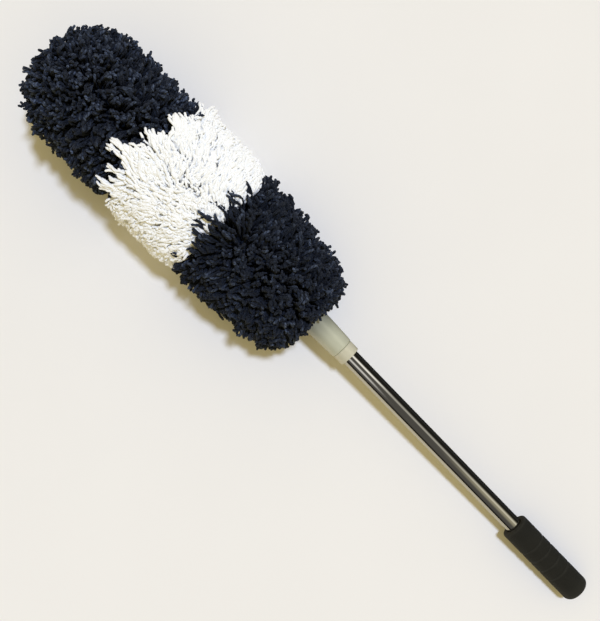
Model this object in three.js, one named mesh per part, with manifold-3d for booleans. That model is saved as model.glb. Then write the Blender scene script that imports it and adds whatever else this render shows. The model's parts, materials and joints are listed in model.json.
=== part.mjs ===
// Car duster with an extending pole, lying on a table: foam grip, two steel tubes with a twist lock, plastic
// socket and a yarn pile head on a padded core.
// Millimetres, +Z up, +X from the grip to the head; the origin is on the table, under the middle of the box.
import * as THREE from "three";
import { mergeVertices } from "three/addons/utils/BufferGeometryUtils.js";
import Module from "manifold-3d";

const wasm = await Module();
wasm.setup();

// Clearances
const SEAT_GAP = 0.3; // pressed, tied and stacked pieces
const LIP_GAP = 0.4; // inner tube in the lip of the collar
const FLANGE_GAP = 0.4; // lock plug flanges in the outer tube
const CAM_GAP = 0.3; // split ring in the outer tube and on its journal

// Tubes
const OUTER_TUBE_DIAMETER = 19;
const OUTER_TUBE_WALL = 0.6;
const TUBE_STEP = 0.9; // radial space between the tubes
const INNER_TUBE_WALL = 0.6;
const BARE_TUBE_LENGTH = 263.5; // shown between grip and collar
const STOW_GAP = 36; // between the end plug and the stowed lock plug
const END_PLUG_FLANGE = 1.5;
const END_PLUG_LENGTH = 16;

// Foam grip
const GRIP_LENGTH = 105.5;
const GRIP_WALL = 6;
const GRIP_BUTT_THICKNESS = 10;
const GRIP_BUTT_ROUNDING = 7;
const GRIP_MOUTH_ROUNDING = 2;
const GRIP_GROOVE_START = 33;
const GRIP_GROOVE_MARGIN = 30; // from the mouth to the last groove
const GRIP_GROOVE_PITCH = 14;
const GRIP_GROOVE_WIDTH = 3;
const GRIP_GROOVE_FLOOR = 1;
const GRIP_GROOVE_DEPTH = 0.7;

// Collar on the mouth of the outer tube
const COLLAR_LENGTH = 12.6;
const COLLAR_WALL = 2.7;
const COLLAR_LIP = 1.6;
const COLLAR_ROUNDING = 0.5;

// Twist lock
const CAM_ECCENTRICITY = 0.15;
const CAM_LENGTH = 9;
const CAM_WALL = 2.8;
const CAM_SLOT = 3;
const FLANGE_THICKNESS = 3;
const PLUG_SPIGOT_LENGTH = 18;
const JOURNAL_ROOT = 1; // how far the journal runs into each flange

// Socket of the head
const SOCKET_LENGTH = 66.4;
const SOCKET_STEP = 0.7; // mouth stands proud of the collar
const SOCKET_FLARE = 2.2; // growth in radius from mouth to shoulder
const SOCKET_MOUTH_ROUNDING = 0.9;
const POLE_SEAT_DEPTH = 44;
const SPIGOT_LENGTH = 28;
const SPIGOT_CHAMFER = 1.5;
const PIN_DIAMETER = 4;
const PIN_RECESS = 0.8;
const SOCKET_PIN_INSET = 8; // from the top of the inner tube
const CORE_PIN_INSET = 14; // from the shoulder of the socket

// Padded core
const CORE_TUBE_WALL = 2;
const CAP_SPIGOT_LENGTH = 14;
const CAP_CROWN = 9;
const FOAM_THICKNESS = 8.8;
const SLEEVE_THICKNESS = 1;
const HEAD_SHOULDER = 7.7; // shoulder of the socket to the full width of the head
const HEM_LENGTH = 14;
const HEM_TURN = 14; // length over which the sleeve draws in to the hem
const BAND_WIDTH = 5;
const BAND_THICKNESS = 1.4;
const BAND_INSET = 4; // from the edge of the hem

// Yarn pile
const REAR_BARREL_LENGTH = 110;
const MIDDLE_BAND_LENGTH = 98;
const FRONT_BARREL_LENGTH = 100;
const BACKING_THICKNESS = 1.8;
const PILE_DEPTH = 45.5;
const TIP_PILE_EXTRA = 4; // the tip is a little longer than round
const REAR_PILE_OVERHANG = 46; // rear strands lean back over the socket
const REAR_PILE_LIFT = 1.5;
const PILE_SQUASH = 16; // how far the middle of the head sinks into its pile
const TUFT_COLUMNS = 18;
const REAR_TURN_ROWS = 4;
const REAR_BARREL_ROWS = 5;
const MIDDLE_ROWS = 5;
const FRONT_BARREL_ROWS = 5;
const DOME_ROWS = 4; // rows round the dome, in front of which one tuft closes the tip
const TUFT_SHOULDER = 0.88; // share of a tuft's height where its point starts
const TUFT_FILL = 0.74; // share of its cell that a tuft fills at the shoulder
const TUFT_UNEVENNESS = 0.14; // longest to shortest, as a share of the height
const TUFT_LEAN = 0.25; // of a tuft's point, as a share of its cell
const PARTING_LEAN = 0.32; // of the partings between tufts, as a share of a cell

const HIDDEN_SIDES = 24;
const GRIP_SIDES = 28;
const TUBE_SIDES = 40;
const ROUNDING_STEPS = 4;

// Radii
const outerTubeRadius = OUTER_TUBE_DIAMETER / 2;
const outerTubeBore = outerTubeRadius - OUTER_TUBE_WALL;
const innerTubeRadius = outerTubeBore - TUBE_STEP;
const innerTubeBore = innerTubeRadius - INNER_TUBE_WALL;
const gripBore = outerTubeRadius + SEAT_GAP;
const gripRadius = gripBore + GRIP_WALL;
const collarBore = outerTubeRadius + SEAT_GAP;
const collarRadius = collarBore + COLLAR_WALL;
const lipBore = innerTubeRadius + LIP_GAP;
const camRadius = outerTubeBore - CAM_GAP;
const camBore = camRadius - CAM_WALL;
const journalRadius = camBore - CAM_GAP;
const flangeRadius = outerTubeBore - FLANGE_GAP;
const socketBore = innerTubeRadius + SEAT_GAP;
const socketMouthRadius = collarRadius + SOCKET_STEP;
const socketTopRadius = socketMouthRadius + SOCKET_FLARE;
const coreRadius = socketTopRadius;
const coreBore = coreRadius - CORE_TUBE_WALL;
const spigotRadius = coreBore - SEAT_GAP;
const pinRadius = PIN_DIAMETER / 2;
const foamBore = coreRadius + SEAT_GAP;
const foamRadius = foamBore + FOAM_THICKNESS;
const sleeveBore = foamRadius + SEAT_GAP;
const sleeveRadius = sleeveBore + SLEEVE_THICKNESS;

// Stations along the tool, from the butt of the grip
const endPlugStart = GRIP_BUTT_THICKNESS + SEAT_GAP;
const endPlugShoulder = endPlugStart + END_PLUG_FLANGE;
const endPlugTop = endPlugShoulder + END_PLUG_LENGTH;
const outerTubeStart = endPlugShoulder + SEAT_GAP;
const lowerFlangeStart = endPlugTop + STOW_GAP;
const lowerFlangeEnd = lowerFlangeStart + FLANGE_THICKNESS;
const camStart = lowerFlangeEnd + SEAT_GAP;
const upperFlangeStart = camStart + CAM_LENGTH + SEAT_GAP;
const upperFlangeEnd = upperFlangeStart + FLANGE_THICKNESS;
const innerTubeStart = upperFlangeEnd + SEAT_GAP;
const collarStart = GRIP_LENGTH + BARE_TUBE_LENGTH;
const collarEnd = collarStart + COLLAR_LENGTH;
const lipStart = collarEnd - COLLAR_LIP;
const outerTubeEnd = lipStart - SEAT_GAP;
const socketMouth = collarEnd + SEAT_GAP;
const socketTop = socketMouth + SOCKET_LENGTH;
const poleSeat = socketMouth + POLE_SEAT_DEPTH;
const innerTubeEnd = poleSeat - SEAT_GAP;
const socketPinStation = innerTubeEnd - SOCKET_PIN_INSET;
const corePinStation = socketTop + CORE_PIN_INSET;
const barrelStart = socketTop + HEAD_SHOULDER;
const middleStart = barrelStart + REAR_BARREL_LENGTH;
const frontStart = middleStart + MIDDLE_BAND_LENGTH;
const barrelEnd = frontStart + FRONT_BARREL_LENGTH;
const hemTop = barrelStart - HEM_TURN;
const hemEdge = hemTop - HEM_LENGTH;
const coreStart = socketTop + SEAT_GAP;
const coreEnd = barrelEnd - CAP_CROWN;

function socketRadiusAt(station) {
  const share = (station - socketMouth) / SOCKET_LENGTH;
  return socketMouthRadius + SOCKET_FLARE * share;
}

const hemBore = socketRadiusAt(hemTop) + SEAT_GAP;
const hemRadius = hemBore + SLEEVE_THICKNESS;
const bandBore = hemRadius + SEAT_GAP;

// Pile radii: the backing is a ring of flats, so its corners stand out far enough for the flats to clear
const columnAngle = (2 * Math.PI) / TUFT_COLUMNS;
const domeRowAngle = Math.PI / 2 / (DOME_ROWS + 1);
const flatToCorner = 1 / (Math.cos(columnAngle / 2) * Math.cos(columnAngle / 4) * Math.cos(domeRowAngle / 2));
const backingBore = (sleeveRadius + SEAT_GAP) * flatToCorner;
const rootRadius = backingBore + BACKING_THICKNESS;
const pileRadius = rootRadius + PILE_DEPTH;
const neckBackingBore = (hemRadius + SEAT_GAP) * flatToCorner;
const neckRootRadius = neckBackingBore + BACKING_THICKNESS + BAND_THICKNESS;

// Lie of the tool: the butt of the grip and the underside of the pile rest on the table
const headMiddle = (barrelStart + barrelEnd) / 2;
const tilt = Math.asin((pileRadius - PILE_SQUASH - gripRadius) / (headMiddle - GRIP_BUTT_ROUNDING));
const buttCentre = gripRadius - GRIP_BUTT_ROUNDING;
const buttHeight =
  buttCentre * Math.cos(tilt) + GRIP_BUTT_ROUNDING - GRIP_BUTT_ROUNDING * Math.sin(tilt);
const up = new THREE.Vector3(0, Math.sin(tilt), Math.cos(tilt));

const BLACK_FOAM = { color: 0x2b2a27, roughness: 0.95, metalness: 0 };
const STEEL = { color: 0xc9cacb, roughness: 0.12, metalness: 1 };
const PALE_PLASTIC = { color: 0xd3d3c4, roughness: 0.42, metalness: 0 };
const LOCK_PLASTIC = { color: 0xe4e2da, roughness: 0.5, metalness: 0 };
const DARK_PLASTIC = { color: 0x33343a, roughness: 0.55, metalness: 0 };
const PADDING = { color: 0xd9cfae, roughness: 1, metalness: 0 };
const CLOTH = { color: 0x3a3c44, roughness: 1, metalness: 0 };
const DARK_YARN = { color: 0x1b1e28, roughness: 1, metalness: 0 };
const WHITE_YARN = { color: 0xf1f1ec, roughness: 1, metalness: 0 };

const tool = new THREE.Group();

function addPiece(name, geometry, finish) {
  const mesh = new THREE.Mesh(geometry, new THREE.MeshStandardMaterial(finish));
  mesh.name = name;
  tool.add(mesh);
  return mesh;
}

// Turned pieces: a profile lists radius and station pairs, up the outside and down the inside
function turned(profile, sides = HIDDEN_SIDES) {
  const points = profile.map(([radius, station]) => new THREE.Vector2(radius, station));
  return new THREE.LatheGeometry(points, sides);
}

function turnedRing(profile, sides = HIDDEN_SIDES) {
  return turned([...profile, profile[0]], sides);
}

function tubeGeometry(radius, bore, start, end, sides = HIDDEN_SIDES) {
  const profile = [
    [radius, start],
    [radius, end],
    [bore, end],
    [bore, start],
  ];
  return turnedRing(profile, sides);
}

// Quarter of an ellipse, or another stretch of it; angle 0 points outwards and a right angle to the head
function curve(radius, station, reachOut, reachAlong, from, to, steps = ROUNDING_STEPS) {
  return Array.from({ length: steps + 1 }, (_, step) => {
    const angle = THREE.MathUtils.lerp(from, to, step / steps);
    return [radius + reachOut * Math.cos(angle), station + reachAlong * Math.sin(angle)];
  });
}

const QUARTER = Math.PI / 2;

// Cuts and joins
function solidOf(geometry) {
  const bare = geometry.clone();
  bare.deleteAttribute("normal");
  bare.deleteAttribute("uv");
  const merged = mergeVertices(bare);
  const corners = merged.index.array;
  const triangles = [];
  for (let i = 0; i < corners.length; i += 3) {
    const [a, b, c] = corners.slice(i, i + 3);
    if (a !== b && b !== c && c !== a) triangles.push(a, b, c);
  }
  const mesh = new wasm.Mesh({
    numProp: 3,
    vertProperties: new Float32Array(merged.attributes.position.array),
    triVerts: new Uint32Array(triangles),
  });
  return new wasm.Manifold(mesh);
}

function geometryOf(solid) {
  const mesh = solid.getMesh();
  const geometry = new THREE.BufferGeometry();
  geometry.setAttribute("position", new THREE.BufferAttribute(new Float32Array(mesh.vertProperties), 3));
  geometry.setIndex(new THREE.BufferAttribute(new Uint32Array(mesh.triVerts), 1));
  geometry.computeVertexNormals();
  return geometry;
}

const PIN_SIDES = 16;

function crossPin(radius, length, station) {
  const geometry = new THREE.CylinderGeometry(radius, radius, length, PIN_SIDES);
  geometry.rotateZ(QUARTER);
  return geometry.translate(0, station, 0);
}

function pinHole(station) {
  return solidOf(crossPin(pinRadius + SEAT_GAP, 2 * (socketTopRadius + SEAT_GAP), station));
}

// Grip
const gripGrooves = [];
const lastGroove = GRIP_LENGTH - GRIP_GROOVE_MARGIN;
for (let middle = GRIP_GROOVE_START; middle <= lastGroove; middle += GRIP_GROOVE_PITCH) {
  gripGrooves.push(
    [gripRadius, middle - GRIP_GROOVE_WIDTH / 2],
    [gripRadius - GRIP_GROOVE_DEPTH, middle - GRIP_GROOVE_FLOOR / 2],
    [gripRadius - GRIP_GROOVE_DEPTH, middle + GRIP_GROOVE_FLOOR / 2],
    [gripRadius, middle + GRIP_GROOVE_WIDTH / 2],
  );
}
const gripMouthCentre = gripRadius - GRIP_MOUTH_ROUNDING;
const gripMouthStation = GRIP_LENGTH - GRIP_MOUTH_ROUNDING;
const gripProfile = [
  [0, 0],
  ...curve(buttCentre, GRIP_BUTT_ROUNDING, GRIP_BUTT_ROUNDING, GRIP_BUTT_ROUNDING, -QUARTER, 0),
  ...gripGrooves,
  ...curve(gripMouthCentre, gripMouthStation, GRIP_MOUTH_ROUNDING, GRIP_MOUTH_ROUNDING, 0, QUARTER),
  [gripBore, GRIP_LENGTH],
  [gripBore, GRIP_BUTT_THICKNESS],
  [0, GRIP_BUTT_THICKNESS],
];
addPiece("foam_grip", turned(gripProfile, GRIP_SIDES), BLACK_FOAM);

// Pole
const endPlugProfile = [
  [0, endPlugStart],
  [outerTubeRadius, endPlugStart],
  [outerTubeRadius, endPlugShoulder],
  [outerTubeBore - SEAT_GAP, endPlugShoulder],
  [outerTubeBore - SEAT_GAP, endPlugTop],
  [0, endPlugTop],
];
addPiece("tube_end_plug", turned(endPlugProfile), DARK_PLASTIC);

const outerTube = tubeGeometry(outerTubeRadius, outerTubeBore, outerTubeStart, outerTubeEnd, TUBE_SIDES);
addPiece("outer_tube", outerTube, STEEL);

const collarEdge = collarRadius - COLLAR_ROUNDING;
const collarProfile = [
  [collarBore, collarStart],
  ...curve(collarEdge, collarStart + COLLAR_ROUNDING, COLLAR_ROUNDING, COLLAR_ROUNDING, -QUARTER, 0, 2),
  ...curve(collarEdge, collarEnd - COLLAR_ROUNDING, COLLAR_ROUNDING, COLLAR_ROUNDING, 0, QUARTER, 2),
  [lipBore, collarEnd],
  [lipBore, lipStart],
  [collarBore, lipStart],
];
addPiece("guide_collar", turnedRing(collarProfile, TUBE_SIDES), PALE_PLASTIC);

const innerTube = tubeGeometry(innerTubeRadius, innerTubeBore, innerTubeStart, innerTubeEnd, TUBE_SIDES);
addPiece("inner_tube", geometryOf(solidOf(innerTube).subtract(pinHole(socketPinStation))), STEEL);

// Twist lock: flanges and spigot are true to the pole, the journal between them is eccentric upwards
const plugSpigotRadius = innerTubeBore - SEAT_GAP;

const lowerFlangeProfile = [
  [0, lowerFlangeStart],
  [flangeRadius, lowerFlangeStart],
  [flangeRadius, lowerFlangeEnd],
  [0, lowerFlangeEnd],
];
const upperFlangeProfile = [
  [0, upperFlangeStart],
  [flangeRadius, upperFlangeStart],
  [flangeRadius, upperFlangeEnd],
  [plugSpigotRadius, upperFlangeEnd],
  [plugSpigotRadius, upperFlangeEnd + PLUG_SPIGOT_LENGTH],
  [0, upperFlangeEnd + PLUG_SPIGOT_LENGTH],
];
const journalLength = upperFlangeStart - lowerFlangeEnd + 2 * JOURNAL_ROOT;
const journal = new THREE.CylinderGeometry(journalRadius, journalRadius, journalLength, HIDDEN_SIDES);
journal.translate(0, (lowerFlangeEnd + upperFlangeStart) / 2, CAM_ECCENTRICITY);
const lockPlug = solidOf(turned(upperFlangeProfile))
  .add(solidOf(turned(lowerFlangeProfile)))
  .add(solidOf(journal));
addPiece("lock_plug", geometryOf(lockPlug), LOCK_PLASTIC);

// Split ring: outside true to the pole, bore on the journal, slot at one side
const slotHalf = CAM_SLOT / 2;
const camMouth = Math.asin(slotHalf / camRadius);
const boreMouthFar = Math.asin((slotHalf + CAM_ECCENTRICITY) / camBore);
const boreMouthNear = Math.asin((slotHalf - CAM_ECCENTRICITY) / camBore);
const camSection = new THREE.Shape();
camSection.absarc(0, 0, camRadius, camMouth, 2 * Math.PI - camMouth, false);
camSection.absarc(0, -CAM_ECCENTRICITY, camBore, 2 * Math.PI - boreMouthNear, boreMouthFar, true);
camSection.closePath();
const camGeometry = new THREE.ExtrudeGeometry(camSection, {
  depth: CAM_LENGTH,
  bevelEnabled: false,
  curveSegments: HIDDEN_SIDES,
});
const lockCam = addPiece("lock_cam", camGeometry, LOCK_PLASTIC);
lockCam.rotation.x = -QUARTER;
lockCam.position.y = camStart;

// Socket
const socketEdge = socketMouthRadius - SOCKET_MOUTH_ROUNDING;
const socketRounding = SOCKET_MOUTH_ROUNDING;
const spigotTop = socketTop + SPIGOT_LENGTH;
const socketProfile = [
  [0, poleSeat],
  [socketBore, poleSeat],
  [socketBore, socketMouth],
  ...curve(socketEdge, socketMouth + socketRounding, socketRounding, socketRounding, -QUARTER, 0, 3),
  [socketTopRadius, socketTop],
  [spigotRadius, socketTop],
  [spigotRadius, spigotTop - SPIGOT_CHAMFER],
  [spigotRadius - SPIGOT_CHAMFER, spigotTop],
  [0, spigotTop],
];
const socketBlank = solidOf(turned(socketProfile, TUBE_SIDES));
const socket = socketBlank.subtract(pinHole(socketPinStation)).subtract(pinHole(corePinStation));
addPiece("head_socket", geometryOf(socket), PALE_PLASTIC);

const socketPinLength = 2 * (socketRadiusAt(socketPinStation) - PIN_RECESS);
addPiece("socket_pin", crossPin(pinRadius, socketPinLength, socketPinStation), STEEL);

// Padded core
const coreBlank = solidOf(tubeGeometry(coreRadius, coreBore, coreStart, coreEnd));
addPiece("core_tube", geometryOf(coreBlank.subtract(pinHole(corePinStation))), DARK_PLASTIC);
addPiece("core_pin", crossPin(pinRadius, 2 * (coreRadius - PIN_RECESS), corePinStation), STEEL);

const capShoulder = coreEnd + SEAT_GAP;
const capProfile = [
  [0, coreEnd - CAP_SPIGOT_LENGTH],
  [spigotRadius, coreEnd - CAP_SPIGOT_LENGTH],
  [spigotRadius, capShoulder],
  ...curve(0, capShoulder, coreRadius, CAP_CROWN, 0, QUARTER, ROUNDING_STEPS + 1),
];
addPiece("core_end_cap", turned(capProfile), DARK_PLASTIC);

const foamProfile = [
  [foamBore, barrelStart],
  [foamRadius, barrelStart],
  ...curve(0, barrelEnd, foamRadius, foamRadius, 0, QUARTER, DOME_ROWS + 1),
  [0, capShoulder + CAP_CROWN + SEAT_GAP],
  ...curve(0, capShoulder, foamBore, CAP_CROWN + SEAT_GAP, QUARTER, 0, ROUNDING_STEPS + 1).slice(1),
  [foamBore, barrelStart],
];
addPiece("foam_core", turned(foamProfile), PADDING);

// Sleeve: drawn in at the hem, straight over the padding, closed over its dome
const outTurn = sleeveRadius - hemRadius;
const inTurn = sleeveBore - hemBore;
const inTurnLength = HEM_TURN - SLEEVE_THICKNESS;
const sleeveProfile = [
  [hemBore, hemEdge],
  [hemRadius, hemEdge],
  ...curve(hemRadius, barrelStart, outTurn, HEM_TURN, -QUARTER, 0, REAR_TURN_ROWS),
  ...curve(0, barrelEnd, sleeveRadius, sleeveRadius, 0, QUARTER, DOME_ROWS + 1),
  ...curve(0, barrelEnd, sleeveBore, sleeveBore, QUARTER, 0, DOME_ROWS + 1),
  ...curve(hemBore, barrelStart, inTurn, inTurnLength, 0, -QUARTER, REAR_TURN_ROWS),
  [hemBore, hemEdge],
];
addPiece("base_sleeve", turned(sleeveProfile), CLOTH);

const bandStart = hemEdge + BAND_INSET;
const band = tubeGeometry(bandBore + BAND_THICKNESS, bandBore, bandStart, bandStart + BAND_WIDTH);
addPiece("neck_band", band, LOCK_PLASTIC);

// Pile rings: each has its place on the bore of the backing, at the roots and at the tips of the strands
function rearTurnRing(share) {
  const lean = QUARTER * (1 - share);
  const out = Math.cos(lean);
  const back = Math.sin(lean);
  const tipNeck = neckRootRadius + REAR_PILE_LIFT;
  const boreReach = HEM_TURN + SEAT_GAP;
  const rootReach = boreReach + BACKING_THICKNESS;
  return {
    bore: [neckBackingBore + (backingBore - neckBackingBore) * out, barrelStart - boreReach * back],
    root: [neckRootRadius + (rootRadius - neckRootRadius) * out, barrelStart - rootReach * back],
    tip: [tipNeck + (pileRadius - tipNeck) * out, barrelStart - REAR_PILE_OVERHANG * back],
  };
}

function barrelRing(station) {
  return {
    bore: [backingBore, station],
    root: [rootRadius, station],
    tip: [pileRadius, station],
  };
}

function domeRing(angle) {
  const onDome = (radius, reach) => [radius * Math.cos(angle), barrelEnd + reach * Math.sin(angle)];
  return {
    bore: onDome(backingBore, backingBore),
    root: onDome(rootRadius, rootRadius),
    tip: onDome(pileRadius, pileRadius + TIP_PILE_EXTRA),
  };
}

function barrelRings(start, end, rows) {
  const pitch = (end - start) / rows;
  return Array.from({ length: rows + 1 }, (_, row) => barrelRing(start + row * pitch));
}

// A fixed scatter from 0 to 1 for lengths and leans
const LENGTH_SCATTER = 1;
const ROUND_SCATTER = 2;
const ALONG_SCATTER = 3;
const PARTING_ROUND_SCATTER = 4;
const PARTING_ALONG_SCATTER = 5;

function scatter(kind, row, column) {
  const wave = Math.sin(row * 12.9898 + column * 78.233 + kind * 37.719) * 43758.5453;
  return wave - Math.floor(wave);
}

function swing(kind, row, column) {
  return 2 * scatter(kind, row, column) - 1;
}

// Weights of a cell's four corners at the point of its tuft
function leanShares(row, column) {
  const round = 0.5 + TUFT_LEAN * swing(ROUND_SCATTER, row, column);
  const along = 0.5 + TUFT_LEAN * swing(ALONG_SCATTER, row, column);
  return [(1 - round) * (1 - along), round * (1 - along), round * along, (1 - round) * along];
}

// The pile is pressed flat where it lies on the table
function layOnTable(place) {
  const height = buttHeight + place.dot(up);
  return height < 0 ? place.addScaledVector(up, -height) : place;
}

function pileGeometry(rings, firstRow, closedTip) {
  const positions = [];
  const triangles = [];

  function vertex(place) {
    positions.push(...layOnTable(place.clone()).toArray());
    return positions.length / 3 - 1;
  }

  function quad(a, b, c, d) {
    triangles.push(a, b, c, a, c, d);
  }

  function placeAt([radius, station], ring, column) {
    const angle = (column + (ring % 2) / 2) * columnAngle;
    return new THREE.Vector3(-radius * Math.sin(angle), station, -radius * Math.cos(angle));
  }

  // Partings lean at random, but not along the tool at the ends of the band
  function partingTip(ring, column) {
    const own = column % TUFT_COLUMNS;
    const row = firstRow + ring;
    const round = PARTING_LEAN * swing(PARTING_ROUND_SCATTER, row, own);
    const inside = ring > 0 && ring < rings.length - 1;
    const along = inside ? PARTING_LEAN * swing(PARTING_ALONG_SCATTER, row, own) : 0;
    const from = rings[ring].tip;
    const towards = rings[ring + Math.sign(along)].tip;
    const tip = from.map((size, i) => THREE.MathUtils.lerp(size, towards[i], Math.abs(along)));
    return placeAt(tip, ring, column + round);
  }

  function strandAt(ring, column, height) {
    return placeAt(rings[ring].root, ring, column).lerp(partingTip(ring, column), height);
  }

  const columns = Array.from({ length: TUFT_COLUMNS }, (_, column) => column);
  const ringVertices = (kind) =>
    rings.map((ring, row) => columns.map((column) => vertex(placeAt(ring[kind], row, column))));
  const rootVertices = ringVertices("root");
  const boreVertices = ringVertices("bore");

  // One tuft on a loop of root corners, drawn in towards a line inside its cell and ending in a point
  function tuft(loop, roots, shares, length) {
    const centreAt = (height) =>
      loop.reduce(
        (sum, [ring, column], corner) => sum.addScaledVector(strandAt(ring, column, height), shares[corner]),
        new THREE.Vector3(),
      );
    const shoulderHeight = TUFT_SHOULDER * length;
    const shoulderCentre = centreAt(shoulderHeight);
    const shoulder = loop.map(([ring, column]) =>
      vertex(strandAt(ring, column, shoulderHeight).lerp(shoulderCentre, 1 - TUFT_FILL)),
    );
    const point = vertex(centreAt(length));
    loop.forEach((_, corner) => {
      const next = (corner + 1) % loop.length;
      quad(roots[corner], roots[next], shoulder[next], shoulder[corner]);
      triangles.push(shoulder[corner], shoulder[next], point);
    });
  }

  for (let row = 0; row < rings.length - 1; row += 1) {
    const shift = row % 2;
    for (const column of columns) {
      const after = column + 1;
      const above = column + shift;
      const next = after % TUFT_COLUMNS;
      const low = above % TUFT_COLUMNS;
      const high = (above + 1) % TUFT_COLUMNS;
      const loop = [
        [row, column],
        [row, after],
        [row + 1, above + 1],
        [row + 1, above],
      ];
      const roots = [
        rootVertices[row][column],
        rootVertices[row][next],
        rootVertices[row + 1][high],
        rootVertices[row + 1][low],
      ];
      const length = 1 - TUFT_UNEVENNESS * scatter(LENGTH_SCATTER, firstRow + row, column);
      tuft(loop, roots, leanShares(firstRow + row, column), length);
      quad(
        boreVertices[row][column],
        boreVertices[row + 1][low],
        boreVertices[row + 1][high],
        boreVertices[row][next],
      );
    }
  }

  const last = rings.length - 1;
  for (const column of columns) {
    const next = (column + 1) % TUFT_COLUMNS;
    quad(boreVertices[0][column], boreVertices[0][next], rootVertices[0][next], rootVertices[0][column]);
  }
  if (closedTip) {
    const tipLoop = columns.map((column) => [last, column]);
    const tipShares = columns.map(() => 1 / TUFT_COLUMNS);
    tuft(tipLoop, rootVertices[last], tipShares, 1);
    const apex = vertex(new THREE.Vector3(0, barrelEnd + backingBore, 0));
    for (const column of columns) {
      triangles.push(boreVertices[last][(column + 1) % TUFT_COLUMNS], boreVertices[last][column], apex);
    }
  } else {
    for (const column of columns) {
      const next = (column + 1) % TUFT_COLUMNS;
      const [rootHere, rootNext] = [rootVertices[last][column], rootVertices[last][next]];
      quad(rootHere, rootNext, boreVertices[last][next], boreVertices[last][column]);
    }
  }

  const geometry = new THREE.BufferGeometry();
  geometry.setAttribute("position", new THREE.Float32BufferAttribute(positions, 3));
  geometry.setIndex(triangles);
  geometry.computeVertexNormals();
  return geometry;
}

const seam = SEAT_GAP / 2;
const rearTurnRings = Array.from({ length: REAR_TURN_ROWS }, (_, row) => rearTurnRing(row / REAR_TURN_ROWS));
const rearRings = [...rearTurnRings, ...barrelRings(barrelStart, middleStart - seam, REAR_BARREL_ROWS)];
const middleRings = barrelRings(middleStart + seam, frontStart - seam, MIDDLE_ROWS);
const domeRings = Array.from({ length: DOME_ROWS }, (_, row) => domeRing((row + 1) * domeRowAngle));
const frontRings = [...barrelRings(frontStart + seam, barrelEnd, FRONT_BARREL_ROWS), ...domeRings];
const middleRow = REAR_TURN_ROWS + REAR_BARREL_ROWS;
const frontRow = middleRow + MIDDLE_ROWS;
addPiece("pile_rear", pileGeometry(rearRings, 0, false), DARK_YARN);
addPiece("pile_middle", pileGeometry(middleRings, middleRow, false), WHITE_YARN);
addPiece("pile_front", pileGeometry(frontRings, frontRow, true), DARK_YARN);

// Laid on the table: the tool axis turns from Y to X, then lifts at the head
tool.rotation.z = -QUARTER;
const lying = new THREE.Group();
lying.add(tool);
lying.rotation.y = -tilt;
const duster = new THREE.Group();
duster.add(lying);
duster.updateMatrixWorld(true);
const middle = new THREE.Box3().setFromObject(duster, true).getCenter(new THREE.Vector3());
lying.position.set(-middle.x, -middle.y, buttHeight);

export default duster;
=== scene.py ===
# Car duster with an extending pole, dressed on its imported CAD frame.
import json
import math

import bmesh
import bpy
import numpy as np
from bpy.props import FloatProperty, FloatVectorProperty, IntProperty, PointerProperty
from mathutils import Matrix, Vector


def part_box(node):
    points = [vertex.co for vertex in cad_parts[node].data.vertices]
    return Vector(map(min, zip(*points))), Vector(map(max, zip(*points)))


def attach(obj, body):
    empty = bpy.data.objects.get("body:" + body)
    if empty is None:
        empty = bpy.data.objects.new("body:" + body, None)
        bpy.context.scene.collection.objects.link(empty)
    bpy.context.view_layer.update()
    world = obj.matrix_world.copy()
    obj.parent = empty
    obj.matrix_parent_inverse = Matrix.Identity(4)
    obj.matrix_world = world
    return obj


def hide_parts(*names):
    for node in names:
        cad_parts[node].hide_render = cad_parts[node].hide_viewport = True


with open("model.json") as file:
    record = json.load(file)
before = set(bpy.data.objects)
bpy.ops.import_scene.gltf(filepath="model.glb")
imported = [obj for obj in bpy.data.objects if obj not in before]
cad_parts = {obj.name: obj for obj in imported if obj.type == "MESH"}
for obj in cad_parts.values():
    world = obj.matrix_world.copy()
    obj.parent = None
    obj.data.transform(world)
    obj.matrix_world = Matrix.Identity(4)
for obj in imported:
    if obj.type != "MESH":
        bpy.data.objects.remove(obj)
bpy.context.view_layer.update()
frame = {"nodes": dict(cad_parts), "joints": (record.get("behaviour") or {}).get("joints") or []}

bl_info = {
    "name": "Car duster",
    "version": (1, 0, 0),
    "blender": (4, 5, 0),
    "location": "3D View > Sidebar > Duster",
    "description": "Dresses the packed car duster: foam grip, steel pole, plastic socket and yarn pile",
    "category": "Object",
}

QUARTER = math.pi / 2
FULL_TURN = 2 * math.pi
GOLDEN_ANGLE = math.pi * (3 - math.sqrt(5))

# Stations along the tool, in metres from the butt of the grip
GRIP_FLOOR = 0.010
TUBE_START = 0.0121
TUBE_END = 0.3797
COLLAR_START = 0.369
COLLAR_LIP = 0.380
COLLAR_END = 0.3816
INNER_START = 0.0797
INNER_END = 0.4256
SOCKET_MOUTH = 0.38162
SOCKET_SEAT = 0.4259
SOCKET_TOP = 0.4483
SPIGOT_END = 0.4763
SOCKET_PIN = 0.4176
CORE_PIN = 0.4623
HEM_EDGE = 0.428
HEM_TOP = 0.442
BACKING_START = 0.4417
BARREL_START = 0.456
MIDDLE_START = 0.566
FRONT_START = 0.664
CAP_START = 0.7553
BARREL_END = 0.764
CAP_END = 0.7643
RING_PITCH = 0.014
RING_STATIONS = [0.033 + RING_PITCH * count for count in range(4)]

# Gaps, holes and the smallest distances, in metres
SLIP = 0.0003
LIP_GAP = 0.0004
PIN_HOLE = 0.0023
SAME_PLACE = 1e-6
SHARP_ANGLE = math.radians(40)

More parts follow.
